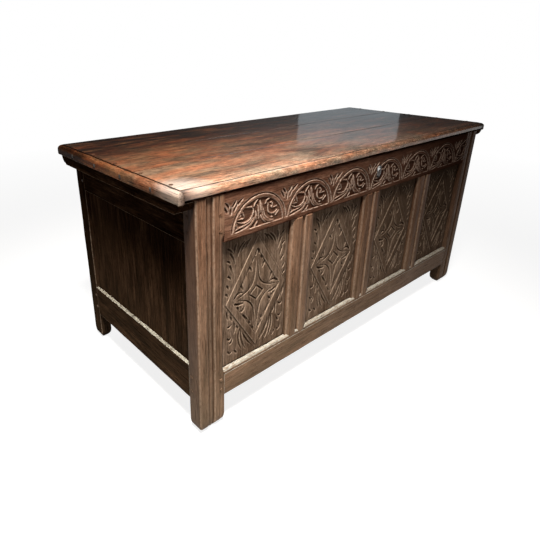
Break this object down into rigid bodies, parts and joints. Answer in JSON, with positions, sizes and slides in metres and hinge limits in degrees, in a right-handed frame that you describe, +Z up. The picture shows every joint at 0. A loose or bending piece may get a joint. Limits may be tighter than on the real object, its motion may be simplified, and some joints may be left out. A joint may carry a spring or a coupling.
{
  "type": "joined oak coffer chest",
  "caption": "Joined oak chest with a carved front of lozenge panels under a lunette rail, standing on its stiles, with a boarded lid on strap hinges and a lock.",
  "frame": {"origin": "on the floor, under the middle of the chest's lid", "axes": "+X to the right along the length as seen from the front, -Y towards the front, +Z up"},
  "size_m": [1.3874, 0.592, 0.641],
  "materials": {
    "oak_frame": "aged oak, dark brown, waxed",
    "oak_panels": "aged oak, dark brown, dry in the hollows of the carving",
    "oak_lid": "aged oak, red-brown, polished by use and waxed",
    "oak_pegs": "riven oak, dark",
    "oak_bottom": "dry unwaxed oak",
    "wrought_iron": "hand-forged, dark, slightly rough"
  },
  "bodies": {
    "carcase": {"back_bottom_rail": "oak_frame", "back_muntin_1": "oak_frame", "back_muntin_2": "oak_frame", "back_panel_1": "oak_panels", "back_panel_2": "oak_panels", "back_panel_3": "oak_panels", "back_stile_left": "oak_frame", "back_stile_right": "oak_frame", "back_top_rail": "oak_frame", "bottom_board_1": "oak_bottom", "bottom_board_2": "oak_bottom", "bottom_board_3": "oak_bottom", "bottom_board_4": "oak_bottom", "bottom_board_5": "oak_bottom", "bottom_board_6": "oak_bottom", "end_bottom_rail_left": "oak_frame", "end_bottom_rail_right": "oak_frame", "end_panel_left": "oak_panels", "end_panel_right": "oak_panels", "end_top_rail_left": "oak_frame", "end_top_rail_right": "oak_frame", "front_bottom_rail": "oak_frame", "front_muntin_1": "oak_frame", "front_muntin_2": "oak_frame", "front_muntin_3": "oak_frame", "front_panel_1": "oak_panels", "front_panel_2": "oak_panels", "front_panel_3": "oak_panels", "front_panel_4": "oak_panels", "front_stile_left": "oak_frame", "front_stile_right": "oak_frame", "front_top_rail": "oak_frame", "hinge_leaf_left": "wrought_iron", "hinge_leaf_right": "wrought_iron", "hinge_pin_left": "wrought_iron", "hinge_pin_right": "wrought_iron", "keyhole_escutcheon": "wrought_iron", "lock_case": "wrought_iron", "nails_bottom_boards": "wrought_iron", "nails_escutcheon": "wrought_iron", "nails_hinge_leaves": "wrought_iron", "nails_lock": "wrought_iron", "pegs_back": "oak_pegs", "pegs_ends": "oak_pegs", "pegs_front": "oak_pegs"},
    "lid": {"hinge_strap_left": "wrought_iron", "hinge_strap_right": "wrought_iron", "lid_board_back": "oak_lid", "lid_board_front": "oak_lid", "lid_board_middle": "oak_lid", "lid_cleat_left": "oak_lid", "lid_cleat_right": "oak_lid", "lid_end_moulding_left": "oak_lid", "lid_end_moulding_right": "oak_lid", "lid_staple": "wrought_iron", "nails_lid_iron": "wrought_iron", "nails_lid_mouldings": "wrought_iron", "pegs_lid": "oak_pegs"},
    "bolt": {"lock_bolt": "wrought_iron"}
  },
  "joints": [
    {"name": "lid_hinge", "type": "hinge", "parent": "carcase", "child": "lid", "pos_m": [0, 0.2911, 0.6092], "axis": [-1, 0, 0], "range_deg": [0, 100]},
    {"name": "bolt_slide", "type": "slide", "parent": "carcase", "child": "bolt", "axis": [1, 0, 0], "range_m": [0, 0.012]}
  ]
}
